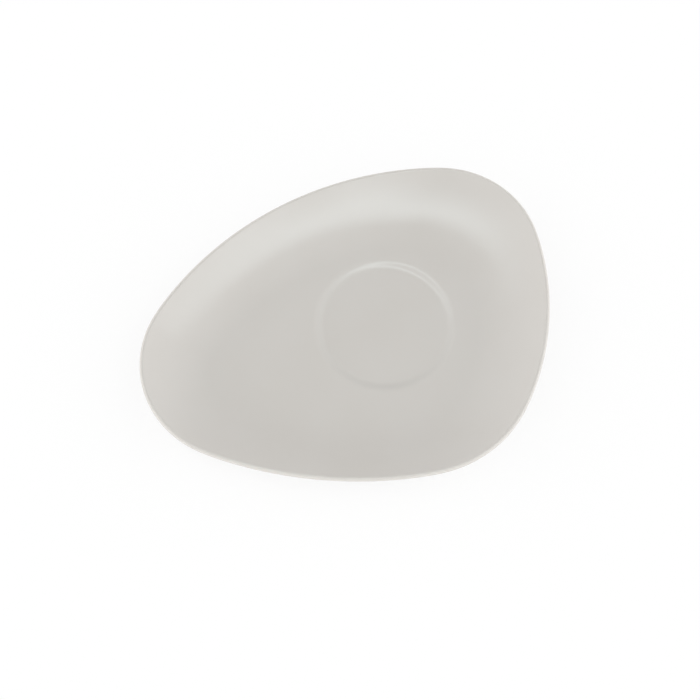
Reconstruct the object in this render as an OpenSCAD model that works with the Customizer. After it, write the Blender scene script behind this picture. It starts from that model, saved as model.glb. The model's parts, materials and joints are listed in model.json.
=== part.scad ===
// Egg-shaped porcelain saucer with an upswept rim, a round cup seat and a bare foot ring.
// Sizes are in millimetres. +Z is up, and +X runs along the saucer from its narrow tip to its broad end.
// The origin is the middle of the outline's bounding box, on the table.
// Plan positions are measured from the cup seat's axis and then moved to the origin.

/* [Outline] */
// Distance from the cup seat's axis back to the centre of the tip's circle
tip_reach = 59; // [56:0.5:62]
// Radius of the narrow tip
tip_r = 40.9; // [38:0.1:43]
// Position along the saucer of the near corner's circle
near_x = 4.5; // [2:0.5:8]
// Distance of the near corner's circle to the -Y side
near_y = 20.5; // [18:0.5:23]
// Radius of the near corner
near_r = 48.8; // [46:0.1:52]
// Position along the saucer of the far corner's circle
far_x = 30.3; // [27:0.1:33]
// Distance of the far corner's circle to the +Y side
far_y = 17; // [15:0.5:19]
// Radius of the far corner
far_r = 39.8; // [38:0.1:42]
// Radius of the long side between the tip and the near corner
near_side_r = 166; // [150:1:190]
// Radius of the broad end between the two corners
end_side_r = 107; // [95:1:120]
// Radius of the long side between the far corner and the tip
far_side_r = 135; // [125:1:150]

/* [Well] */
// Width of the rising rim round the tip and the sides
rim_w = 27; // [24:0.5:29]
// Position along the saucer of the circle that rounds the well's far corner
well_far_x = 6; // [4:0.5:8]
// Distance of that circle to the +Y side
well_far_y = 1; // [0:0.5:3]
// Radius of the well's far corner
well_far_r = 32; // [31:0.5:34]

/* [Section] */
// Height of the lip above the table
rim_h = 16.5; // [14.5:0.5:19.5]
// Height of the clay underside above the table
foot_h = 3; // [2:0.1:4]
// Thickness of the glazed floor
floor_t = 4.8; // [4:0.1:6]
// Thickness of the glazed lip
lip_t = 2.2; // [1.8:0.1:3.2]
// How long the rim stays steep before it flattens into the floor
rim_ease = 1.5; // [1:0.1:3]
// Thickness of the glaze
glaze_t = 0.3; // [0.2:0.05:0.4]

/* [Cup seat] */
// Diameter of the cup seat at the middle of its wall
seat_d = 53; // [48:0.5:56]
// Depth of the cup seat
seat_depth = 1.1; // [0.7:0.1:1.5]
// Width of the cup seat's sloping wall
seat_wall = 6.4; // [5.4:0.1:7.4]

/* [Foot] */
// Distance of the foot ring inside the edge of the well
foot_in = 2.5; // [1.5:0.5:4.5]
// Width of the foot ring where it joins the body
foot_w = 5; // [4:0.5:6]
// Size of the bevel on both edges of the foot ring's standing face
foot_bevel = 0.8; // [0.5:0.1:1.2]

/* [Fineness] */
// Number of points round each level line
round_steps = 96; // [72:12:108]
// Number of steps across the rim on each face
rim_steps = 8; // [6:1:9]
// Number of steps round the lip
lip_steps = 6; // [4:1:8]
// Number of steps down the cup seat's wall
seat_steps = 8; // [4:1:12]

/* [Hidden] */
$fn = 96;

// Glaze at the lip wraps a half-round edge.
lip_r = lip_t / 2;
// Glazed floor, and the clay floor under its glaze.
floor_z = foot_h - glaze_t + floor_t;
clay_floor_z = floor_z - glaze_t;
// The rim is a sheet of changing thickness about a middle line that falls from the lip to the floor.
mid_lip_z = rim_h - lip_r;
mid_floor_z = floor_z - floor_t / 2;
// Sum that makes the middle line's fall come to 1.
fall_sum = 1 - 1 / (rim_ease + 1);
// Cup seat wall, from its foot to its top.
seat_in_r = (seat_d - seat_wall) / 2;
seat_out_r = (seat_d + seat_wall) / 2;
// The clay under the wall is a plain cone. It takes up this share of the wall's width on each side of the middle.
cone_share = 0.28;
cone_in_r = seat_d / 2 - cone_share * seat_wall;
cone_out_r = seat_d / 2 + cone_share * seat_wall;
// Insets of the foot ring's two walls from the well's outline.
foot_out_e = lip_r + foot_in;
foot_in_e = foot_out_e + foot_w;
// Overshoot of a cutter past the face that it opens.
past = 1;

// Both outlines are drawn the same way: tip, near corner and far corner circles, joined by three side arcs.
rim_c = [[-tip_reach, 0], [near_x, -near_y], [far_x, far_y]];
rim_r = [tip_r, near_r, far_r];
rim_side_r = [near_side_r, end_side_r, far_side_r];
well_c = [rim_c[0], rim_c[1], [well_far_x, well_far_y]];
well_r = [tip_r - rim_w, near_r - rim_w, well_far_r];
well_side_r = [for (r = rim_side_r) r - rim_w];

// Centre of side arc i, which touches corner circles i and i + 1 from outside.
function side_centre(c, r, side, i) =
    let (j = (i + 1) % 3)
    let (p = side[i] - r[i])
    let (q = side[i] - r[j])
    let (d = norm(c[j] - c[i]))
    let (u = (c[j] - c[i]) / d)
    let (along = (p * p - q * q + d * d) / (2 * d))
    c[i] + along * u + sqrt(p * p - along * along) * [-u[1], u[0]];

// Direction from one point to another, in degrees.
function bearing(from, to) = atan2(to[1] - from[1], to[0] - from[0]);

// The six arcs of an outline, each as centre, radius and the direction in which it starts.
function outline_arcs(c, r, side) = [
    for (i = [0:2])
    let (last = side_centre(c, r, side, (i + 2) % 3))
    let (next = side_centre(c, r, side, i))
    each [[c[i], r[i], bearing(last, c[i])], [next, side[i], bearing(next, c[i])]]
];

// The point of an outline whose outward normal has direction a: it is on the arc that started last.
function outline_at(arcs, a) =
    let (gone = [for (s = arcs) (a - s[2] + 720) % 360])
    let (s = arcs[search(min(gone), gone)[0]])
    s[0] + s[1] * [cos(a), sin(a)];

normals = [for (k = [0:round_steps - 1]) 360 * k / round_steps];
rim_arcs = outline_arcs(rim_c, rim_r, rim_side_r);
well_arcs = outline_arcs(well_c, well_r, well_side_r);
rim_line = [for (a = normals) outline_at(rim_arcs, a)];
well_line = [for (a = normals) outline_at(well_arcs, a)];
rim_x = [for (p = rim_line) p[0]];
rim_y = [for (p = rim_line) p[1]];
middle = [min(rim_x) + max(rim_x), min(rim_y) + max(rim_y)] / 2;

// One closed level line. q holds its share of the way from rim to well, a further inset, and its height.
function level_line(q) = [
    for (k = [0:round_steps - 1])
    let (n = [cos(normals[k]), sin(normals[k])])
    let (p = rim_line[k] + q[0] * (well_line[k] - rim_line[k]) - q[1] * n - middle)
    [p[0], p[1], q[2]]
];

// Height of the middle line as a share of its fall, and the rate at which it falls.
// The line is steepest at the lip and flattens all the way into the floor.
function fall(t) = 1 - (t - pow(t, rim_ease + 1) / (rim_ease + 1)) / fall_sum;
function fall_rate(t) = (1 - pow(t, rim_ease)) / fall_sum;
function mid_z(t) = mid_floor_z + (mid_lip_z - mid_floor_z) * fall(t);
function lean(t) = atan(fall_rate(t) * (mid_lip_z - mid_floor_z) / rim_w);

// Half of the sheet's thickness, which grows as the line falls, less a skin taken off both faces.
function half_t(t, skin) = lip_r + (floor_t / 2 - lip_r) * (1 - fall(t)) - skin;

// Points of the upper face, the lip and the back, each as a share, an inset and a height.
function face_at(t, skin) =
    [t, lip_r + half_t(t, skin) * sin(lean(t)), mid_z(t) + half_t(t, skin) * cos(lean(t))];
function lip_at(a, skin) = [0, lip_r - (lip_r - skin) * cos(a), mid_lip_z + (lip_r - skin) * sin(a)];
function back_at(t, skin) =
    [t, lip_r - half_t(t, skin) * sin(lean(t)), mid_z(t) - half_t(t, skin) * cos(lean(t))];

// The rim's section from the edge of the well, over the lip, to the same place underneath.
function section(skin) = concat(
    [for (k = [0:rim_steps]) face_at(1 - k / rim_steps, skin)],
    [for (k = [1:lip_steps - 1]) lip_at(90 + lean(0) - 180 * k / lip_steps, skin)],
    [for (k = [0:rim_steps]) back_at(k / rim_steps, skin)]
);

function backwards(list) = [for (k = [len(list) - 1:-1:0]) list[k]];

// Solid skinned over level lines, listed from its top face round to its bottom face.
module skinned(levels) {
    lines = [for (q = levels) level_line(q)];
    n = round_steps;
    last = (len(lines) - 1) * n;
    polyhedron(
        points = [for (line = lines) each line],
        faces = concat(
            [[for (k = [n - 1:-1:0]) k]],
            [
                for (j = [0:len(lines) - 2])
                for (k = [0:n - 1])
                [j * n + k, j * n + (k + 1) % n, (j + 1) * n + (k + 1) % n, (j + 1) * n + k]
            ],
            [[for (k = [0:n - 1]) last + k]]
        )
    );
}

// Round solid on the cup seat's axis, turned from a list of radius and height.
module turned_on_seat(shape) {
    translate(-middle) rotate_extrude() polygon(shape);
}

// The clay's cup seat, filled up to a height.
function clay_seat(top) = [
    [0, clay_floor_z - seat_depth],
    [cone_in_r, clay_floor_z - seat_depth],
    [cone_out_r, clay_floor_z],
    [cone_out_r, top],
    [0, top]
];

// Rise of the glazed wall as a share of its height, level and without a bend at both ends.
function wall_rise(s) = pow(s, 4) * (35 - 84 * s + 70 * s * s - 20 * pow(s, 3));

// The glazed cup seat, whose wall eases out of the seat and into the floor.
function glazed_seat(top) = concat(
    [[0, floor_z - seat_depth]],
    [
        for (k = [0:seat_steps])
        let (s = k / seat_steps)
        [seat_in_r + seat_wall * s, floor_z - seat_depth * (1 - wall_rise(s))]
    ],
    [[seat_out_r, top], [0, top]]
);

// Fired clay: floor, cup seat, rising rim and rounded lip in one piece.
module porcelain_body() {
    color([0.85, 0.84, 0.82]) difference() {
        skinned(section(glaze_t));
        turned_on_seat(clay_seat(clay_floor_z + past));
    }
}

// Bare clay ring under the well that the saucer stands on.
module foot_ring() {
    color([0.80, 0.77, 0.72]) difference() {
        skinned([
            [1, foot_out_e, foot_h],
            [1, foot_out_e, foot_bevel],
            [1, foot_out_e + foot_bevel, 0]
        ]);
        skinned([
            [1, foot_in_e, foot_h + past],
            [1, foot_in_e, foot_bevel],
            [1, foot_in_e - foot_bevel - past, -past]
        ]);
    }
}

// Glaze over the upper face, round the lip and down the back as far as the foot ring.
module glaze_coat() {
    color([0.82, 0.81, 0.79]) difference() {
        union() {
            skinned(concat(
                section(0),
                [[1, foot_out_e, foot_h - glaze_t], [1, foot_out_e, foot_h]],
                backwards(section(glaze_t))
            ));
            turned_on_seat(clay_seat(clay_floor_z + glaze_t / 2));
        }
        turned_on_seat(glazed_seat(floor_z + past));
    }
}

// Glaze over the underside within the foot ring.
module base_glaze() {
    color([0.82, 0.81, 0.79])
    translate([0, 0, foot_h - glaze_t])
    linear_extrude(glaze_t)
    polygon([for (p = level_line([1, foot_in_e, 0])) [p[0], p[1]]]);
}

porcelain_body();
foot_ring();
glaze_coat();
base_glaze();
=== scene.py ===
"""Egg-shaped porcelain saucer with an upswept rim, a round cup seat and a bare foot ring.

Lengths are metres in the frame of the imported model: +Z is up, +X runs from the narrow tip to the
broad end, and the origin is on the table under the middle of the outline.
"""

import json
import logging
import math
from dataclasses import dataclass, field
from enum import Enum
from typing import Optional, Union

import bpy
import numpy as np
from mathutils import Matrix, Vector
from numpy.typing import NDArray


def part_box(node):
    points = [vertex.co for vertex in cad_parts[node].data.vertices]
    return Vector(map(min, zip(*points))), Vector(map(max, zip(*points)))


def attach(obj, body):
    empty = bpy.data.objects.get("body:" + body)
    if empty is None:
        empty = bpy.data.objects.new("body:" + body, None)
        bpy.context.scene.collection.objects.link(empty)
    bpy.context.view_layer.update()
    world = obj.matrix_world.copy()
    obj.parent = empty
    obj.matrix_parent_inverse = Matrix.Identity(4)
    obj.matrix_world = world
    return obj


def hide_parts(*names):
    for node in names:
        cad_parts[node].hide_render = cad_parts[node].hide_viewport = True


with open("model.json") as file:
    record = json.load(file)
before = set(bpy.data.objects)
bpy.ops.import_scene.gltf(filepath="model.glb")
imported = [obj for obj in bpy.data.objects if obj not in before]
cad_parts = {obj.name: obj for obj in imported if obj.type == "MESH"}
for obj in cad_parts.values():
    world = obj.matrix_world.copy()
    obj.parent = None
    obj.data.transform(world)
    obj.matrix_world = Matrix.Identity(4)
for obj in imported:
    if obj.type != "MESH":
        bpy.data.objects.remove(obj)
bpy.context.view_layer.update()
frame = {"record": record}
LOG = logging.getLogger("saucer")

MM = 0.001
QUARTER_TURN = np.pi / 2.0
FULL_TURN = 2.0 * np.pi
SHARP_ANGLE = math.radians(40.0)
# The glaze depth attribute also carries painted light: lighter on the lip as a painted highlight, darker on
# the seat's wall as painted shade.
DEPTH_AND_LIGHT_NAME = "glaze_depth"
THIN_AND_HIGHLIGHT, EVEN, POOLED_AND_SHADE = 0.0, 0.5, 1.0
Array = NDArray[np.float64]
Colour = tuple[float, float, float]
Feed = Union[float, tuple, bpy.types.NodeSocket]


class Slot(Enum):
    """Material slots of the record."""

    CLAY = "fired_clay"
    FOOT = "bare_foot"
    GLAZE = "glaze"


class Socket(Enum):
    """Kinds of socket on an effect group."""

    NUMBER = "NodeSocketFloat"
    COLOUR = "NodeSocketColor"
    VECTOR = "NodeSocketVector"


class Face(Enum):
    """Faces of the rim, by the way that they lie from its middle line."""

    UPPER = 1.0
    BACK = -1.0


class RingSide(Enum):
    """Sides of the foot ring, by the way that insets grow from its wall."""

    OUTER = -1.0
    INNER = 1.0


def millimetres(*values: float) -> tuple[float, ...]:
    """Gives sizes written in millimetres as metres."""
    return tuple(v * MM for v in values)


def shares(steps: int, first: float = 0.0, last: float = 1.0) -> Array:
    """Gives evenly spaced shares, both ends included."""
    return np.linspace(first, last, steps + 1)


# Shape of the saucer


@dataclass(frozen=True)
class EggLine:
    """Plan line of three corner circles joined by three side arcs that touch them.

    Corner i is followed by side i, anticlockwise: tip, near side, near corner, broad end, far
    corner, far side. Positions are from the cup seat's axis.
    """

    centres: tuple[tuple[float, ...], ...]
    radii: tuple[float, ...]
    side_radii: tuple[float, ...]
    ease: float = math.radians(3.0)

    def side_centre(self, i: int) -> Array:
        """Finds the centre of side arc i, which is its radius less the corner's from both corner centres.

        Args:
            i: The corner that the side starts from.

        Returns:
            The centre as (x, y).
        """
        j = (i + 1) % len(self.centres)
        start, end = np.array(self.centres[i]), np.array(self.centres[j])
        reach, other = self.side_radii[i] - self.radii[i], self.side_radii[i] - self.radii[j]
        gap = np.linalg.norm(end - start)
        along = (reach**2 - other**2 + gap**2) / (2.0 * gap)
        run = (end - start) / gap
        return start + along * run + math.sqrt(reach**2 - along**2) * np.array([-run[1], run[0]])

    def arcs(self) -> tuple[Array, Array, Array]:
        """Lists the corner and side arcs in turn.

        Returns:
            Their centres, their radii, and the direction of the normal where each one starts.
        """
        corners = np.array(self.centres)
        sides = np.array([self.side_centre(i) for i in range(len(corners))])
        centres = np.stack([corners, sides], axis=1).reshape(-1, 2)
        radii = np.column_stack([self.radii, self.side_radii]).ravel()
        from_last, from_next = corners - np.roll(sides, 1, axis=0), corners - sides
        starts = np.stack([from_last, from_next], axis=1).reshape(-1, 2)
        return centres, radii, np.arctan2(starts[:, 1], starts[:, 0])

    def line(self, turn: Array) -> Array:
        """Draws the outline on a full turn of evenly spaced outward normals.

        The tangent with normal n lies at h = centre . n + radius of the arc in force. The harmonics
        of h are faded by a bell curve, so that one radius eases into the next, and the point is h n
        plus the rate of h along the tangent. Harmonics 0 and 1 are the size and the place, and stay.

        Args:
            turn: Directions of the outward normals, in radians.

        Returns:
            One (x, y) for each normal.
        """
        centres, radii, starts = self.arcs()
        normal = np.column_stack([np.cos(turn), np.sin(turn)])
        arc = np.argmin((turn[:, None] - starts[None, :]) % FULL_TURN, axis=1)
        reach = np.sum(centres[arc] * normal, axis=1) + radii[arc]
        order = np.arange(len(turn) // 2 + 1)
        fade = np.where(order <= 1, 1.0, np.exp(-0.5 * (order * self.ease) ** 2))
        waves = np.fft.rfft(reach) * fade
        eased, rate = np.fft.irfft(waves, len(turn)), np.fft.irfft(1j * order * waves, len(turn))
        tangent = np.column_stack([-normal[:, 1], normal[:, 0]])
        return eased[:, None] * normal + rate[:, None] * tangent


@dataclass(frozen=True)
class RimSection:
    """Section of the rising rim: a sheet about a middle line that falls from the lip to the well's edge.

    A point is a share of the way from rim line to well line, a further inset, and a height.
    """

    top: float
    floor: float
    floor_t: float
    lip_t: float = 2.2 * MM
    width: float = 27.0 * MM
    ease: float = 1.5

    @property
    def lip_r(self) -> float:
        """Radius of the half-round lip."""
        return self.lip_t / 2.0

    @property
    def drop(self) -> float:
        """Fall of the middle line."""
        return (self.top - self.lip_r) - (self.floor - self.floor_t / 2.0)

    @property
    def under(self) -> float:
        """Height of the underside below the well."""
        return self.floor - self.floor_t

    def fall(self, share: Array) -> Array:
        """Share of the fall still to come: steepest at the lip, flattening all the way into the floor."""
        power = self.ease + 1.0
        return 1.0 - (share - share**power / power) / (1.0 - 1.0 / power)

    def lean(self, share: Array) -> Array:
        """Angle of the middle line to the table, from the slope of its fall."""
        rate = (1.0 - share**self.ease) / (1.0 - 1.0 / (self.ease + 1.0))
        return np.arctan(rate * self.drop / self.width)

    def face(self, share: Array, skin: float, side: Face = Face.UPPER) -> Array:
        """Offsets the middle line square to itself by half the thickness.

        Args:
            share: Shares of the way from rim line to well line.
            skin: Thickness taken off the sheet on this side.
            side: The face that is wanted.

        Returns:
            One (share, inset, height) for each share.
        """
        fall, lean = self.fall(share), self.lean(share)
        middle = self.floor - self.floor_t / 2.0 + self.drop * fall
        half = self.lip_r + (self.floor_t / 2.0 - self.lip_r) * (1.0 - fall) - skin
        out = side.value * half
        return np.column_stack([share, self.lip_r + out * np.sin(lean), middle + out * np.cos(lean)])

    def lip(self, swing: Array, skin: float) -> Array:
        """Carries the section round the half-round lip.

        Args:
            swing: Share of the way round, from the upper face to the back.
            skin: Thickness taken off the lip.

        Returns:
            One (share, inset, height) for each swing.
        """
        angle = QUARTER_TURN + self.lean(np.zeros(1)) - np.pi * swing
        radius = self.lip_r - skin
        rise = self.top - self.lip_r + radius * np.sin(angle)
        return np.column_stack([np.zeros_like(swing), self.lip_r - radius * np.cos(angle), rise])


@dataclass(frozen=True)
class CupSeat:
    """Round recess that a cup stands in."""

    axis: tuple[float, float]
    floor: float
    depth: float = 1.1 * MM
    diameter: float = 53.0 * MM
    wall: float = 6.4 * MM
    cone_share: float = 0.28

    @property
    def inner(self) -> float:
        """Radius at the foot of the wall."""
        return (self.diameter - self.wall) / 2.0

    def section(self, across: Array) -> Array:
        """Carries the section up the wall, level and without a bend at both ends.

        The rise at share s is s^4 (35 - 84 s + 70 s^2 - 20 s^3) of the depth.

        Args:
            across: Share of the way across the wall.

        Returns:
            One (radius, height) for each share.
        """
        rise = across**4 * (35.0 - 84.0 * across + 70.0 * across**2 - 20.0 * across**3)
        return np.column_stack([self.inner + self.wall * across, self.floor + self.depth * rise])

    def cone(self, inset: float) -> Array:
        """Gives the two ends of the clay's cone under the wall.

        Args:
            inset: Depth of the clay below the glazed surface.

        Returns:
            The (radius, height) of its foot and of its top.
        """
        half = self.cone_share * self.wall
        foot = [self.diameter / 2.0 - half, self.floor - inset]
        return np.array([foot, [self.diameter / 2.0 + half, self.floor + self.depth - inset]])


@dataclass(frozen=True)
class FootShape:
    """Section of the foot ring, as insets from the well line."""

    height: float
    outer: float
    width: float = 5.0 * MM
    bevel: float = 0.8 * MM

    @property
    def inner(self) -> float:
        """Inset of the wall that faces the middle."""
        return self.outer + self.width


@dataclass(frozen=True)
class GlazeFillet:
    """Small hollow that glaze leaves where it pools against a wall of the foot ring."""

    radius: float = 0.7 * MM
    slack: float = 0.02 * MM
    depth: float = 0.85
    steps: int = 8

    def section(self, wall: float, under: float, side: RingSide) -> Array:
        """Draws a quarter circle from the wall to the level underside.

        The inset is wall + side radius (1 - cos a), and the height is under - radius (1 - sin a).

        Args:
            wall: Inset of the glaze's edge at the wall.
            under: Height of the level underside.
            side: The side of the ring that it lies on.

        Returns:
            Rows of (share, inset, height), at the well line's share.
        """
        angle = QUARTER_TURN * shares(self.steps)
        inset = wall + side.value * self.radius * (1.0 - np.cos(angle))
        height = under - self.radius * (1.0 - np.sin(angle))
        return np.column_stack([np.ones_like(angle), inset, height])


@dataclass
class SaucerForm:
    """The saucer's plan and sections, and the level lines that they give."""

    round_steps: int = 320
    foot_in: float = 2.5 * MM
    rim_line: EggLine = EggLine(
        centres=(millimetres(-59.0, 0.0), millimetres(4.5, -20.5), millimetres(30.3, 17.0)),
        radii=millimetres(40.9, 48.8, 39.8),
        side_radii=millimetres(166.0, 107.0, 135.0),
    )
    well_line: EggLine = EggLine(
        centres=(millimetres(-59.0, 0.0), millimetres(4.5, -20.5), millimetres(6.0, 1.0)),
        radii=millimetres(13.9, 21.8, 32.0),
        side_radii=millimetres(139.0, 80.0, 108.0),
    )
    glaze_t: float = field(init=False)
    seat: CupSeat = field(init=False)
    section: RimSection = field(init=False)
    foot: FootShape = field(init=False)
    normal: Array = field(init=False)
    well: Array = field(init=False)
    rim: Array = field(init=False)

    def __post_init__(self) -> None:
        """Takes heights and the seat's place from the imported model, and draws the two outlines."""
        mounts = {m["name"]: m["pos_m"] for m in frame["record"]["mounts"]}
        coat_low, coat_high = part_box("glaze_coat")
        foot_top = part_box("foot_ring")[1].z
        self.glaze_t = foot_top - coat_low.z
        self.seat = CupSeat(axis=tuple(mounts["cup_seat"][:2]), floor=mounts["cup_seat"][2])
        floor = self.seat.floor + self.seat.depth
        self.section = RimSection(top=coat_high.z, floor=floor, floor_t=floor - coat_low.z)
        self.foot = FootShape(height=foot_top, outer=self.section.lip_r + self.foot_in)
        turn = np.arange(self.round_steps) * FULL_TURN / self.round_steps
        self.normal = np.column_stack([np.cos(turn), np.sin(turn)])
        self.well = self.well_line.line(turn) + self.seat.axis
        rim = self.rim_line.line(turn) + self.seat.axis
        proud = float(np.max(np.abs(rim) - np.array([coat_high.x, coat_high.y])))
        self.rim = rim - max(proud, 0.0) * self.normal

    @staticmethod
    def raised(plan: Array, height: Array) -> Array:
        """Puts each row of plan points at its height."""
        return np.concatenate([plan, np.broadcast_to(height, plan.shape[:2] + (1,))], axis=2)

    def levels(self, section: Array) -> Array:
        """Carries a section round the plan: rim + share (well - rim) - inset normal, at its height.

        Args:
            section: Rows of (share, inset, height).

        Returns:
            Points on a grid of section rows by normals.
        """
        share, inset, height = section.T[:, :, None, None]
        plan = self.rim + share * (self.well - self.rim) - inset * self.normal
        return self.raised(plan, height)

    def seat_levels(self, section: Array) -> Array:
        """Carries a section round the cup seat's axis: axis + radius normal, at its height.

        Args:
            section: Rows of (radius, height).

        Returns:
            Points on a grid of section rows by normals.
        """
        radius, height = section.T[:, :, None, None]
        return self.raised(np.array(self.seat.axis) + radius * self.normal, height)

    def flat(self, share: Array, edge: Array, radius: float) -> Array:
        """Fills a level floor between a circle round the seat's axis and an outer level line.

        Args:
            share: Shares of the way from the circle to the line.
            edge: The outer level line.
            radius: Radius of the circle.

        Returns:
            Points on a grid of shares by normals.
        """
        circle = self.seat_levels(np.array([[radius, edge[0, 2]]]))[0]
        return circle + share[:, None, None] * (edge - circle)

    def pole(self, height: float) -> Array:
        """Gives the point on the cup seat's axis at a height."""
        return np.array([*self.seat.axis, height])


@dataclass
class Skin:
    """Level lines in order from the top to the underside, with a glaze depth for each one; on the lip and
    the seat's wall the depth also carries painted highlight and painted shade.
    """

    rows: list[Array] = field(default_factory=list)
    depths_and_light: list[Array] = field(default_factory=list)

    def add(self, rows: Array, depth: Union[float, Array] = EVEN) -> None:
        """Adds level lines.

        Args:
            rows: Points on a grid of lines by normals.
            depth: Glaze depth of each line, between thinnest and deepest glaze; on the lip it also stands
                for a painted highlight, and on the seat's wall for painted shade.
        """
        self.rows.append(rows)
        self.depths_and_light.append(np.broadcast_to(depth, len(rows)))

    def mesh(self, name: str, poles: Optional[tuple[Array, Array]] = None) -> bpy.types.Object:
        """Joins the lines into one closed mesh.

        Each quad joins point k of one line to point k + 1 of the next. With poles, the first and last
        lines close on a point each; without them, the last line closes on the first.

        Args:
            name: Name of the object.
            poles: The points above the first line and below the last.

        Returns:
            The new object, linked to the scene.
        """
        grid = np.concatenate(self.rows)
        lines, steps = grid.shape[:2]
        depth = np.repeat(np.concatenate(self.depths_and_light), steps)
        number = np.arange(lines * steps).reshape(lines, steps)
        ahead = np.roll(number, -1, axis=1)
        below, below_ahead = np.roll(number, -1, axis=0), np.roll(ahead, -1, axis=0)
        quads = np.stack([number, below, below_ahead, ahead], axis=-1)
        points = grid.reshape(-1, 3)
        if poles is None:
            faces = quads.reshape(-1, 4).tolist()
        else:
            faces = quads[:-1].reshape(-1, 4).tolist()
            points = np.concatenate([points, np.array(poles)])
            depth = np.concatenate([depth, depth[[0, -1]]])
            first, last = np.full(steps, lines * steps), np.full(steps, lines * steps + 1)
            faces += np.column_stack([first, number[0], ahead[0]]).tolist()
            faces += np.column_stack([last, ahead[-1], number[-1]]).tolist()
        mesh = bpy.data.meshes.new(name)
        mesh.from_pydata(points.tolist(), [], faces)
        mesh.polygons.foreach_set("use_smooth", np.ones(len(mesh.polygons), dtype=bool))
        mesh.set_sharp_from_angle(angle=SHARP_ANGLE)
        # The stored glaze depth also holds the painted highlight on the lip and the painted shade on the
        # seat's wall.
        mesh.attributes.new(DEPTH_AND_LIGHT_NAME, "FLOAT", "POINT").data.foreach_set("value", depth)
        piece = bpy.data.objects.new(name, mesh)
        bpy.context.scene.collection.objects.link(piece)
        return piece


# Shader effects and finishes


class NodeSheet:
    """A node tree with short ways to place nodes and join them."""

    def __init__(self, tree: bpy.types.NodeTree) -> None:
        """Keeps the tree that the nodes go in."""
        self.tree = tree

    def feed(self, socket: bpy.types.NodeSocket, value: Feed) -> None:
        """Joins a socket to another one, or sets it to a plain value.

        Args:
            socket: The input.
            value: An output to join, a number, or a tuple of numbers.
        """
        if isinstance(value, bpy.types.NodeSocket):
            self.tree.links.new(value, socket)
        elif socket.type == "RGBA" and len(value) == 3:
            socket.default_value = (*value, 1.0)
        else:
            socket.default_value = value

    def add(self, kind: str, feeds: dict[Union[str, int], Feed], **settings: object) -> bpy.types.Node:
        """Places a node.

        Args:
            kind: The node's type, without the word ShaderNode.
            feeds: What goes into each input, by name or number.
            **settings: Properties of the node.

        Returns:
            The new node.
        """
        node = self.tree.nodes.new(f"ShaderNode{kind}")
        for key, value in settings.items():
            setattr(node, key, value)
        for key, value in feeds.items():
            self.feed(node.inputs[key], value)
        return node

    def math(self, operation: str, *values: Feed) -> bpy.types.NodeSocket:
        """Works out one number.

        Args:
            operation: Name of the sum.
            *values: What it works on.

        Returns:
            The result.
        """
        return self.add("Math", dict(enumerate(values)), operation=operation).outputs[0]

    def ramp(self, value: Feed, low: float, high: float, soft: bool = True) -> bpy.types.NodeSocket:
        """Turns a value into a mask that goes from 0 at low to 1 at high.

        Args:
            value: The value.
            low: Where the mask is 0.
            high: Where the mask is 1.
            soft: Whether the ends are eased.

        Returns:
            The mask.
        """
        kind = "SMOOTHSTEP" if soft else "LINEAR"
        feeds = {"Value": value, "From Min": low, "From Max": high}
        return self.add("MapRange", feeds, interpolation_type=kind).outputs["Result"]

    def between(self, share: Feed, first: float, last: float) -> bpy.types.NodeSocket:
        """Turns a share into a number that goes from first at 0 to last at 1."""
        feeds = {"Value": share, "To Min": first, "To Max": last}
        return self.add("MapRange", feeds).outputs["Result"]

    def noise(self, place: Feed, scale: Feed, detail: float) -> bpy.types.NodeSocket:
        """Gives a soft noise about one half, with scale as its cells per metre."""
        feeds = {"Vector": place, "Scale": scale, "Detail": detail}
        return self.add("TexNoise", feeds).outputs[0]

    def mix(self, share: Feed, first: Feed, second: Feed) -> bpy.types.NodeSocket:
        """Mixes two colours, which are inputs 6 and 7 and output 2 of the node.

        Args:
            share: Share of the second colour.
            first: Colour at 0.
            second: Colour at 1.

        Returns:
            The mixed colour.
        """
        node = self.add("Mix", {0: share, 6: first, 7: second}, data_type="RGBA")
        return node.outputs[2]

    def group(self, tree: bpy.types.NodeTree, feeds: dict[str, Feed]) -> bpy.types.NodeSocket:
        """Places an effect group, and gives its only output."""
        return self.add("Group", feeds, node_tree=tree).outputs[0]


class PieceSheet(NodeSheet):
    """The node tree of a piece's material, with its shader and the place on the piece."""

    def __init__(self, name: str) -> None:
        """Starts a material.

        Args:
            name: Name of the material.
        """
        self.material = bpy.data.materials.new(name)
        self.material.use_nodes = True
        super().__init__(self.material.node_tree)
        self.shader = self.tree.nodes["Principled BSDF"]
        self.place = self.add("TexCoord", {}).outputs["Object"]

    def put(self, name: str, value: Feed) -> None:
        """Feeds an input of the shader."""
        self.feed(self.shader.inputs[name], value)

    def bump(self, height: Feed, distance: float, strength: float) -> None:
        """Bends the shader's normal by a height, where a height of 1 stands for the distance."""
        feeds = {"Strength": strength, "Distance": distance, "Height": height}
        self.put("Normal", self.add("Bump", feeds).outputs["Normal"])


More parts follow.
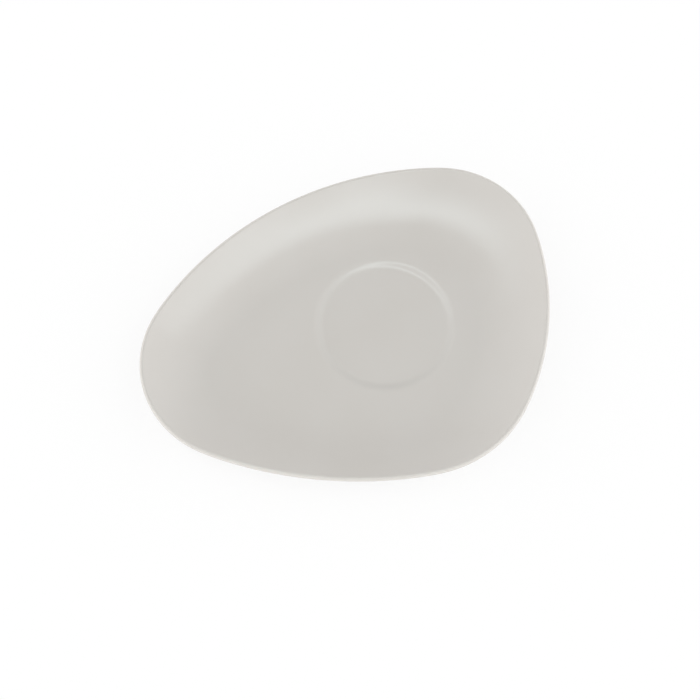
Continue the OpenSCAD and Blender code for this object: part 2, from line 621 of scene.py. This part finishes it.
class Effects:
    """Shader node groups that more than one finish uses."""

    mottle_detail: float = 3.0
    mottle_ends: tuple[float, float] = (0.3, 0.7)
    broad_detail: float = 1.0
    fine_detail: float = 2.0

    def __init__(self) -> None:
        """Builds each group once."""
        self.mottle = self._mottle()
        self.relief = self._relief()
        self.pinholes = self._pinholes()

    @staticmethod
    def _start(
        name: str, inputs: dict[str, Socket], output: tuple[str, Socket]
    ) -> tuple[NodeSheet, dict[str, bpy.types.NodeSocket], bpy.types.NodeSocket]:
        """Opens a group with its sockets.

        Args:
            name: Name of the group.
            inputs: Its inputs, after the place.
            output: Its one output.

        Returns:
            The sheet, the inputs by name, and the socket that takes the result.
        """
        tree = bpy.data.node_groups.new(name, "ShaderNodeTree")
        for label, kind in {"Place": Socket.VECTOR, **inputs}.items():
            tree.interface.new_socket(label, in_out="INPUT", socket_type=kind.value)
        tree.interface.new_socket(output[0], in_out="OUTPUT", socket_type=output[1].value)
        given = tree.nodes.new("NodeGroupInput").outputs
        result = tree.nodes.new("NodeGroupOutput").inputs[0]
        return NodeSheet(tree), {label: given[label] for label in ("Place", *inputs)}, result

    def _mottle(self) -> bpy.types.NodeTree:
        """Drifts slowly between two tones on a soft noise.

        Returns:
            The group, with a Colour output.
        """
        inputs = {"Scale": Socket.NUMBER, "Low": Socket.COLOUR, "High": Socket.COLOUR}
        sheet, given, result = self._start("tone_mottle", inputs, ("Colour", Socket.COLOUR))
        noise = sheet.noise(given["Place"], given["Scale"], self.mottle_detail)
        mask = sheet.ramp(noise, *self.mottle_ends)
        sheet.feed(result, sheet.mix(mask, given["Low"], given["High"]))
        return sheet.tree

    def _relief(self) -> bpy.types.NodeTree:
        """Adds a fine noise to a broad one for a height that is not quite smooth.

        Returns:
            The group, with a Height output.
        """
        inputs = {"Broad": Socket.NUMBER, "Fine": Socket.NUMBER, "Fine share": Socket.NUMBER}
        sheet, given, result = self._start("surface_relief", inputs, ("Height", Socket.NUMBER))
        broad = sheet.noise(given["Place"], given["Broad"], self.broad_detail)
        fine = sheet.noise(given["Place"], given["Fine"], self.fine_detail)
        part = sheet.math("MULTIPLY", fine, given["Fine share"])
        sheet.feed(result, sheet.math("ADD", broad, part))
        return sheet.tree

    def _pinholes(self) -> bpy.types.NodeTree:
        """Marks a small round dot in a few of the cells of a scattered pattern.

        Returns:
            The group, with a Mask output.
        """
        inputs = {"Scale": Socket.NUMBER, "Size": Socket.NUMBER, "Share": Socket.NUMBER}
        sheet, given, result = self._start("pinholes", inputs, ("Mask", Socket.NUMBER))
        cells = sheet.add("TexVoronoi", {"Vector": given["Place"], "Scale": given["Scale"]})
        dot = sheet.math("LESS_THAN", cells.outputs["Distance"], given["Size"])
        lot = sheet.add("SeparateColor", {0: cells.outputs["Color"]}).outputs[0]
        sheet.feed(result, sheet.math("MULTIPLY", dot, sheet.math("LESS_THAN", lot, given["Share"])))
        return sheet.tree


@dataclass(frozen=True)
class Relief:
    """Values of the relief effect on one finish: two noises, and the height that they stand for."""

    broad: float
    fine: float
    fine_share: float
    distance: float
    strength: float

    def height(self, sheet: PieceSheet, effects: Effects) -> bpy.types.NodeSocket:
        """Gives the relief as a height."""
        feeds = {"Broad": self.broad, "Fine": self.fine, "Fine share": self.fine_share}
        return sheet.group(effects.relief, {"Place": sheet.place, **feeds})


@dataclass(frozen=True)
class Dots:
    """Values of the pinhole effect on one finish: cells per metre, size in a cell, share of cells."""

    scale: float
    size: float
    share: float

    def mask(self, sheet: PieceSheet, effects: Effects) -> bpy.types.NodeSocket:
        """Gives the dots as a mask."""
        feeds = {"Scale": self.scale, "Size": self.size, "Share": self.share}
        return sheet.group(effects.pinholes, {"Place": sheet.place, **feeds})


@dataclass(frozen=True)
class Drift:
    """Values of the mottle effect on one finish: cells per metre and the two tones."""

    scale: float
    low: Colour
    high: Colour

    def tone(self, sheet: PieceSheet, effects: Effects) -> bpy.types.NodeSocket:
        """Gives the drifting colour."""
        feeds = {"Scale": self.scale, "Low": self.low, "High": self.high}
        return sheet.group(effects.mottle, {"Place": sheet.place, **feeds})


@dataclass(frozen=True)
class GlazeFinish:
    """Clear gloss glaze over white clay: lighter on the lip, as thinner glaze and a painted highlight;
    deeper and cooler where it pools, and darker on the seat's wall as deeper glaze and painted shade.
    """

    name: str = "clear_gloss_glaze"
    even: Drift = Drift(scale=34.0, low=(0.590, 0.567, 0.538), high=(0.600, 0.578, 0.551))
    # Lighter tone for thinner glaze on the lip, also used there as a painted highlight.
    thin_and_highlight: Colour = (0.685, 0.662, 0.625)
    # Darker, cooler tone for pooling glaze, also used on the seat's wall as painted shade.
    pooled_and_shade: Colour = (0.560, 0.546, 0.520)
    hole: Colour = (0.330, 0.300, 0.260)
    holes: Dots = Dots(scale=45.0, size=0.008, share=0.10)
    gloss: tuple[float, float] = (0.07, 0.12)
    gloss_scale: float = 120.0
    gloss_detail: float = 2.0
    ripple: Relief = Relief(broad=90.0, fine=900.0, fine_share=0.08, distance=0.006 * MM, strength=1.0)
    ior: float = 1.5

    def material(self, effects: Effects) -> bpy.types.Material:
        """Builds the glaze.

        Args:
            effects: The shared node groups.

        Returns:
            The material.
        """
        sheet = PieceSheet(self.name)
        depth = sheet.add("Attribute", {}, attribute_name=DEPTH_AND_LIGHT_NAME).outputs["Fac"]
        tone = self.even.tone(sheet, effects)
        # Painted highlight: lightens the lip towards the lighter tone.
        tone = sheet.mix(sheet.ramp(depth, EVEN, THIN_AND_HIGHLIGHT), tone, self.thin_and_highlight)
        # Painted shade on the seat's wall, and pooling glaze in the fillets: darkens towards the deeper
        # tone.
        tone = sheet.mix(sheet.ramp(depth, EVEN, POOLED_AND_SHADE), tone, self.pooled_and_shade)
        holes = self.holes.mask(sheet, effects)
        sheet.put("Base Color", sheet.mix(holes, tone, self.hole))
        cloud = sheet.noise(sheet.place, self.gloss_scale, self.gloss_detail)
        sheet.put("Roughness", sheet.between(cloud, *self.gloss))
        pitted = sheet.math("SUBTRACT", self.ripple.height(sheet, effects), holes)
        sheet.bump(pitted, self.ripple.distance, self.ripple.strength)
        sheet.put("IOR", self.ior)
        return sheet.material


@dataclass(frozen=True)
class ClayFinish:
    """Fired clay without glaze: matt, slightly warm and finely grained, with a few iron specks."""

    name: str = "fired_clay"
    even: Drift = Drift(scale=160.0, low=(0.590, 0.556, 0.500), high=(0.640, 0.610, 0.560))
    speck: Colour = (0.330, 0.280, 0.220)
    specks: Dots = Dots(scale=260.0, size=0.05, share=0.12)
    rough: float = 0.62
    grain: Relief = Relief(broad=700.0, fine=3200.0, fine_share=0.7, distance=0.03 * MM, strength=0.6)

    def tone(self, sheet: PieceSheet, effects: Effects) -> bpy.types.NodeSocket:
        """Colours the clay and its specks."""
        return sheet.mix(self.specks.mask(sheet, effects), self.even.tone(sheet, effects), self.speck)

    def material(self, effects: Effects) -> bpy.types.Material:
        """Builds the clay.

        Args:
            effects: The shared node groups.

        Returns:
            The material.
        """
        sheet = PieceSheet(self.name)
        sheet.put("Base Color", self.tone(sheet, effects))
        sheet.bump(self.grain.height(sheet, effects), self.grain.distance, self.grain.strength)
        sheet.put("Roughness", self.rough)
        return sheet.material


@dataclass(frozen=True)
class FootFinish:
    """Foot ring wiped clean of glaze: bare ground clay, with glaze left above a wavering line."""

    name: str = "wiped_foot"
    clay: ClayFinish = ClayFinish()
    glaze: GlazeFinish = GlazeFinish()
    wipe_line: float = 1.35 * MM
    wipe_soft: float = 0.05 * MM
    waver: float = 0.5 * MM
    waver_scale: float = 150.0
    waver_detail: float = 2.0
    scuff: Colour = (0.530, 0.500, 0.450)
    scuff_height: float = 0.12 * MM
    scuff_scale: float = 900.0
    scuff_detail: float = 4.0
    scuff_ends: tuple[float, float] = (0.45, 0.7)
    glaze_step: float = 4.0

    def material(self, effects: Effects) -> bpy.types.Material:
        """Builds the foot's finish.

        Args:
            effects: The shared node groups.

        Returns:
            The material.
        """
        sheet = PieceSheet(self.name)
        height = sheet.add("SeparateXYZ", {0: sheet.place}).outputs["Z"]
        wave = sheet.noise(sheet.place, self.waver_scale, self.waver_detail)
        shift = sheet.math("MULTIPLY_ADD", wave, self.waver, -self.waver / 2.0)
        line = sheet.math("ADD", height, shift)
        glazed = sheet.ramp(line, self.wipe_line - self.wipe_soft, self.wipe_line + self.wipe_soft)
        worn = sheet.noise(sheet.place, self.scuff_scale, self.scuff_detail)
        low = sheet.ramp(height, self.scuff_height, 0.0)
        ground = sheet.math("MULTIPLY", low, sheet.ramp(worn, *self.scuff_ends))
        bare = sheet.mix(ground, self.clay.tone(sheet, effects), self.scuff)
        sheet.put("Base Color", sheet.mix(glazed, bare, self.glaze.even.tone(sheet, effects)))
        sheet.put("Roughness", sheet.between(glazed, self.clay.rough, self.glaze.gloss[0]))
        unglazed = sheet.math("SUBTRACT", 1.0, glazed)
        grain = sheet.math("MULTIPLY", self.clay.grain.height(sheet, effects), unglazed)
        step = sheet.math("MULTIPLY_ADD", glazed, self.glaze_step, grain)
        sheet.bump(step, self.clay.grain.distance, self.clay.grain.strength)
        return sheet.material


# Pieces of the saucer


def settle(piece: bpy.types.Object, node: str, finish: bpy.types.Material) -> None:
    """Dresses a piece, ties it to the saucer's body, and puts it in place of a CAD node.

    Args:
        piece: The finished mesh.
        node: The CAD node that it stands for.
        finish: Its material.
    """
    piece.data.materials.append(finish)
    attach(piece, "root")
    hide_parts(node)
    LOG.info("%s: %d faces, for %s", piece.name, len(piece.data.polygons), node)


@dataclass
class ClayBody:
    """The fired clay under the glaze: seat, floor, rim and lip in one piece."""

    form: SaucerForm
    slack: float = 0.02 * MM
    rim_steps: int = 20
    lip_steps: int = 12
    floor_steps: int = 3
    base_steps: int = 5

    def surface(self, skin: Skin, inset: float, downward: bool) -> None:
        """Adds the clay's surface from the cup seat over the lip to the well line underneath.

        Args:
            skin: Where the level lines go.
            inset: Depth of the clay below the glazed surface.
            downward: Whether the lines run from the seat to the underside, or back again.
        """
        form, section = self.form, self.form.section
        wall = form.seat.cone(inset)
        over = section.face(shares(self.rim_steps, 1.0, 0.0), inset)
        round_lip = section.lip(shares(self.lip_steps)[1:-1], inset)
        under = section.face(shares(self.rim_steps), inset, Face.BACK)
        rim = form.levels(np.concatenate([over, round_lip, under]))
        floor = form.flat(shares(self.floor_steps)[1:-1], rim[0], wall[1, 0])
        rows = np.concatenate([form.seat_levels(wall), floor, rim])
        skin.add(rows if downward else rows[::-1])

    def build(self, finish: bpy.types.Material) -> None:
        """Builds and dresses the clay, just inside its glaze.

        Args:
            finish: Its material.
        """
        form, skin = self.form, Skin()
        inset = form.glaze_t + self.slack
        self.surface(skin, inset, True)
        base = skin.rows[-1][-1]
        inward = shares(self.base_steps - 1, 1.0 - 1.0 / self.base_steps, 0.0)
        skin.add(form.flat(inward, base, form.seat.inner))
        poles = form.pole(form.seat.floor - inset), form.pole(base[0, 2])
        settle(skin.mesh("clay_body", poles), "porcelain_body", finish)


@dataclass
class GlazeCoat:
    """The unbroken glaze over the upper face, round the lip and down the back to the foot ring."""

    form: SaucerForm
    clay: ClayBody
    fillet: GlazeFillet = GlazeFillet()
    rim_steps: int = 40
    lip_steps: int = 24
    wall_steps: int = 20
    seat_steps: int = 4
    floor_steps: int = 8
    # Painted shade: darkens the middle of the seat's wall.
    wall_pooling_and_shade: float = 0.22
    # Painted highlight: lightens the lip, partly as thinner glaze.
    lip_thinning_and_highlight: float = 0.3

    def upper(self, skin: Skin) -> None:
        """Adds the cup seat, the well's floor and the rising face.

        The seat's wall is darker, by the square of a half wave across it: a little deeper glaze and painted
        shade.

        Args:
            skin: Where the level lines go.
        """
        form, seat = self.form, self.form.seat
        radius = seat.inner * np.sqrt(shares(self.seat_steps)[1:-1])
        skin.add(form.seat_levels(np.column_stack([radius, np.full_like(radius, seat.floor)])))
        across = shares(self.wall_steps)
        # Painted shade across the seat's wall, strongest in its middle, with a little deeper glaze.
        pooling_and_shade = self.wall_pooling_and_shade * np.sin(np.pi * across) ** 2
        skin.add(form.seat_levels(seat.section(across)), EVEN + pooling_and_shade)
        face = form.levels(form.section.face(shares(self.rim_steps, 1.0, 0.0), 0.0))
        skin.add(form.flat(shares(self.floor_steps)[1:-1], face[0], seat.inner + seat.wall))
        skin.add(face)

    def lower(self, skin: Skin) -> None:
        """Adds the lip, the back, and the fillet that the glaze leaves against the foot ring.

        The lip is lighter, by the square of a half wave round it: thinner glaze and a painted highlight.

        Args:
            skin: Where the level lines go.
        """
        form, section, foot, fillet = self.form, self.form.section, self.form.foot, self.fillet
        swing = shares(self.lip_steps)[1:-1]
        # Painted highlight round the lip, partly thinner glaze.
        thinning_and_highlight = self.lip_thinning_and_highlight * np.sin(np.pi * swing) ** 2
        skin.add(form.levels(section.lip(swing, 0.0)), EVEN - thinning_and_highlight)
        skin.add(form.levels(section.face(shares(self.rim_steps), 0.0, Face.BACK)))
        wall = foot.outer - fillet.slack
        hollow = fillet.section(wall, section.under, RingSide.OUTER)[::-1]
        skin.add(form.levels(hollow), fillet.depth)
        skin.add(form.levels(np.array([[1.0, wall, foot.height]])), fillet.depth)

    def build(self, finish: bpy.types.Material) -> None:
        """Builds the coat as a closed skin on the clay and dresses it.

        Args:
            finish: Its material.
        """
        form, skin = self.form, Skin()
        self.upper(skin)
        self.lower(skin)
        self.clay.surface(skin, form.glaze_t, False)
        poles = form.pole(form.seat.floor), form.pole(form.seat.floor - form.glaze_t)
        settle(skin.mesh("glaze_skin", poles), "glaze_coat", finish)


@dataclass
class FootRing:
    """The bare ring that the saucer stands on."""

    form: SaucerForm
    corner_steps: int = 8
    wall_steps: int = 5
    face_steps: int = 5
    lid_steps: int = 3

    def build(self, finish: bpy.types.Material) -> None:
        """Carries a rounded section round the well line and dresses it.

        The section runs down the outer wall, round a quarter circle, across the standing face, round
        a second quarter circle and up the inner wall, and closes along the top.

        Args:
            finish: Its material.
        """
        form, foot, skin = self.form, self.form.foot, Skin()
        corner = QUARTER_TURN * shares(self.corner_steps)
        turn_in, turn_down = foot.bevel * (1.0 - np.cos(corner)), foot.bevel * (1.0 - np.sin(corner))
        outer = np.column_stack([foot.outer + turn_in, turn_down])
        inner = np.column_stack([foot.inner - turn_in, turn_down])[::-1]
        walls = foot.height - shares(self.wall_steps)[:-1] * (foot.height - foot.bevel)
        down = np.column_stack([np.full_like(walls, foot.outer), walls])
        up = np.column_stack([np.full_like(walls, foot.inner), walls])[::-1]
        face = np.linspace(outer[-1], inner[0], self.face_steps + 1)[1:-1]
        lid = np.linspace(up[-1], down[0], self.lid_steps + 1)[1:-1]
        loop = np.concatenate([down, outer, face, inner, up, lid])
        skin.add(form.levels(np.column_stack([np.ones(len(loop)), loop])))
        settle(skin.mesh("bare_foot_ring"), "foot_ring", finish)


@dataclass
class BaseGlaze:
    """The island of glaze within the foot ring."""

    form: SaucerForm
    fillet: GlazeFillet = GlazeFillet()
    top_steps: int = 3
    floor_steps: int = 6

    def build(self, finish: bpy.types.Material) -> None:
        """Builds a level skin with a fillet against the foot ring, and dresses it.

        Args:
            finish: Its material.
        """
        form, foot, skin = self.form, self.form.foot, Skin()
        under, middle = form.section.under, form.seat.inner / 2.0
        wall = foot.inner + self.fillet.slack
        edge = form.levels(np.array([[1.0, wall, foot.height]]))
        skin.add(form.flat(shares(self.top_steps)[:-1], edge[0], middle))
        skin.add(edge)
        hollow = form.levels(self.fillet.section(wall, under, RingSide.INNER))
        skin.add(hollow, self.fillet.depth)
        inward = shares(self.floor_steps, 1.0 - 1.0 / self.floor_steps, 0.0)
        skin.add(form.flat(inward, hollow[-1], middle))
        poles = form.pole(foot.height), form.pole(under)
        settle(skin.mesh("base_glaze_skin", poles), "base_glaze", finish)


# Stage, light and camera


@dataclass(frozen=True)
class Portrait:
    """Camera set where the photograph was taken from."""

    azimuth: float = math.radians(-19.15)
    elevation: float = math.radians(67.97)
    distance: float = 0.9
    lens: float = 116.85
    sensor: float = 36.0
    aim: tuple[float, ...] = millimetres(-2.11, -3.05, 10.1)

    @property
    def right(self) -> Vector:
        """Level direction to the camera's right."""
        return Vector((math.cos(self.azimuth), math.sin(self.azimuth), 0.0))

    @property
    def away(self) -> Vector:
        """Level direction away from the camera."""
        return Vector((-math.sin(self.azimuth), math.cos(self.azimuth), 0.0))

    @property
    def back(self) -> Vector:
        """Direction from the saucer to the camera."""
        rise = Vector((0.0, 0.0, math.sin(self.elevation)))
        return rise - math.cos(self.elevation) * self.away

    def build(self) -> None:
        """Makes the camera and gives it to the scene."""
        data = bpy.data.cameras.new("portrait")
        data.lens, data.sensor_width = self.lens, self.sensor
        camera = bpy.data.objects.new("portrait", data)
        camera.location = Vector(self.aim) + self.distance * self.back
        camera.rotation_euler = self.back.to_track_quat("Z", "Y").to_euler()
        bpy.context.scene.collection.objects.link(camera)
        bpy.context.scene.camera = camera
        LOG.info("camera at %s", tuple(round(v, 4) for v in camera.location))


@dataclass(frozen=True)
class Studio:
    """Plain pale floor under a soft sky, dim overhead and bright at both sides, with a bent strip of light.

    Directions in the sky are in the camera's axes: x to its right, y level and away from it, z up.
    """

    portrait: Portrait
    overhead: float = 0.113
    low: float = 0.34
    backdrop: float = 0.7
    cube: float = 3.0
    sides: float = 1.58
    near: float = 0.31
    sky_tint: Colour = (1.0, 0.98, 0.97)
    sky_width: float = 2.0
    strip: float = 2.6
    strip_width: float = 0.195
    strip_bends: tuple[tuple[float, float], ...] = (
        (0.67, -0.06),
        (0.48, -0.22),
        (0.21, -0.305),
        (-0.63, 0.24),
    )
    strip_round: float = 0.15
    strip_middle: float = 0.07
    strip_reach: float = 0.72
    strip_tint: Colour = (0.87, 1.0, 1.02)
    floor_size: float = 6.0
    floor_gap: float = 0.2 * MM
    floor_tone: float = 0.95
    floor_white: float = 0.85

    def part(self, sheet: NodeSheet, x: float, y: float) -> bpy.types.NodeSocket:
        """Measures how far a direction of the sky points along a level one.

        Args:
            sheet: The world's nodes.
            x: The level direction's share to the camera's right.
            y: Its share away from the camera.

        Returns:
            The dot product of the two.
        """
        level = x * self.portrait.right + y * self.portrait.away
        feeds = {0: sheet.add("TexCoord", {}).outputs["Generated"], 1: tuple(level)}
        return sheet.add("VectorMath", feeds, operation="DOT_PRODUCT").outputs["Value"]

    def spread(self, sheet: NodeSheet) -> bpy.types.NodeSocket:
        """Shades the sky: overhead + low (1 - z)^3 + backdrop (1 - z)^9 + sides |x| + near max(-y, 0).

        Args:
            sheet: The world's nodes.

        Returns:
            The brightness.
        """
        way = sheet.add("TexCoord", {}).outputs["Generated"]
        height = sheet.add("SeparateXYZ", {0: way}).outputs["Z"]
        lowness = sheet.math("POWER", sheet.ramp(height, 1.0, 0.0, False), self.cube)
        light = sheet.math("MULTIPLY_ADD", lowness, self.low, self.overhead)
        horizon = sheet.math("POWER", lowness, self.cube)
        light = sheet.math("MULTIPLY_ADD", horizon, self.backdrop, light)
        sideness = sheet.math("ABSOLUTE", self.part(sheet, 1.0, 0.0))
        light = sheet.math("MULTIPLY_ADD", sideness, self.sides, light)
        nearness = sheet.math("MAXIMUM", self.part(sheet, 0.0, -1.0), 0.0)
        return sheet.math("MULTIPLY_ADD", nearness, self.near, light)

    def bent_strip(self, sheet: NodeSheet) -> bpy.types.NodeSocket:
        """Shades the strip, which fades with the distance to a bent line and towards the line's ends.

        The distance is the rounded minimum of those to the line's straight runs in x and y. Along the
        line the brightness goes with 1 - ((x - middle) / reach)^2.

        Args:
            sheet: The world's nodes.

        Returns:
            The brightness.
        """
        gap: Feed = self.sky_width
        bends = np.array(self.strip_bends)
        for start, end in zip(bends[:-1], bends[1:]):
            length = float(np.linalg.norm(end - start))
            run = (end - start) / length
            rise = np.array([-run[1], run[0]])
            along = sheet.math("SUBTRACT", self.part(sheet, *run), float(start @ run))
            aside = sheet.math("SUBTRACT", self.part(sheet, *rise), float(start @ rise))
            held = sheet.add("Clamp", {0: along, 1: 0.0, 2: length}).outputs[0]
            beyond = sheet.math("SUBTRACT", along, held)
            square = sheet.math("MULTIPLY_ADD", aside, aside, sheet.math("MULTIPLY", beyond, beyond))
            gap = sheet.math("SMOOTH_MIN", gap, sheet.math("SQRT", square), self.strip_round)
        from_middle = sheet.math("SUBTRACT", self.part(sheet, 1.0, 0.0), self.strip_middle)
        off = sheet.math("DIVIDE", from_middle, self.strip_reach)
        fade = sheet.math("SUBTRACT", 1.0, sheet.math("MULTIPLY", off, off))
        fade = sheet.math("MAXIMUM", fade, 0.0)
        light = sheet.math("MULTIPLY", sheet.ramp(gap, self.strip_width, 0.0), fade)
        return sheet.math("MULTIPLY", light, self.strip)

    def sky(self) -> None:
        """Lights the world with the sum of the soft sky and the strip."""
        world = bpy.data.worlds.new("soft_sky")
        world.use_nodes = True
        bpy.context.scene.world = world
        sheet = NodeSheet(world.node_tree)
        soft = {"Color": self.sky_tint, "Strength": self.spread(sheet)}
        strip = {"Color": self.strip_tint, "Strength": self.bent_strip(sheet)}
        lights = [sheet.add("Background", feeds).outputs[0] for feeds in (soft, strip)]
        both = sheet.add("AddShader", dict(enumerate(lights))).outputs[0]
        sheet.feed(world.node_tree.nodes["World Output"].inputs["Surface"], both)

    def floor(self) -> None:
        """Lays the floor, white to the eye and still shaded by the saucer."""
        half = self.floor_size / 2.0
        corners = np.array([[-half, -half], [half, -half], [half, half], [-half, half]])
        points = np.column_stack([corners, np.full(len(corners), -self.floor_gap)])
        mesh = bpy.data.meshes.new("floor")
        mesh.from_pydata(points.tolist(), [], [range(len(corners))])
        slab = bpy.data.objects.new("floor", mesh)
        bpy.context.scene.collection.objects.link(slab)
        mesh.materials.append(self.floor_material())

    def floor_material(self) -> bpy.types.Material:
        """Mixes a matt white with its own white for what the camera and mirrors see.

        Returns:
            The material.
        """
        made = bpy.data.materials.new("pale_floor")
        made.use_nodes = True
        tree = made.node_tree
        tree.nodes.remove(tree.nodes["Principled BSDF"])
        sheet = NodeSheet(tree)
        matt = sheet.add("BsdfDiffuse", {"Color": (self.floor_tone,) * 3}).outputs[0]
        white = sheet.add("Emission", {"Color": (1.0, 1.0, 1.0), "Strength": 1.0}).outputs[0]
        path = sheet.add("LightPath", {}).outputs
        seen = sheet.math("MAXIMUM", path["Is Camera Ray"], path["Is Glossy Ray"])
        seen = sheet.math("MAXIMUM", seen, path["Is Transmission Ray"])
        share = sheet.math("MULTIPLY", seen, self.floor_white)
        blend = sheet.add("MixShader", {0: share, 1: matt, 2: white}).outputs[0]
        sheet.feed(tree.nodes["Material Output"].inputs["Surface"], blend)
        return made

    def build(self) -> None:
        """Sets up the light, the floor and the view."""
        self.sky()
        self.floor()
        bpy.context.scene.view_settings.view_transform = "Standard"


def main() -> None:
    """Builds the saucer piece by piece, then its stage."""
    logging.basicConfig(level=logging.INFO, format="%(message)s")
    effects = Effects()
    glaze = GlazeFinish().material(effects)
    form = SaucerForm()
    clay = ClayBody(form)
    clay.build(ClayFinish().material(effects))
    GlazeCoat(form, clay).build(glaze)
    FootRing(form).build(FootFinish().material(effects))
    BaseGlaze(form).build(glaze)
    portrait = Portrait()
    portrait.build()
    Studio(portrait).build()


if __name__ == "__main__":
    main()
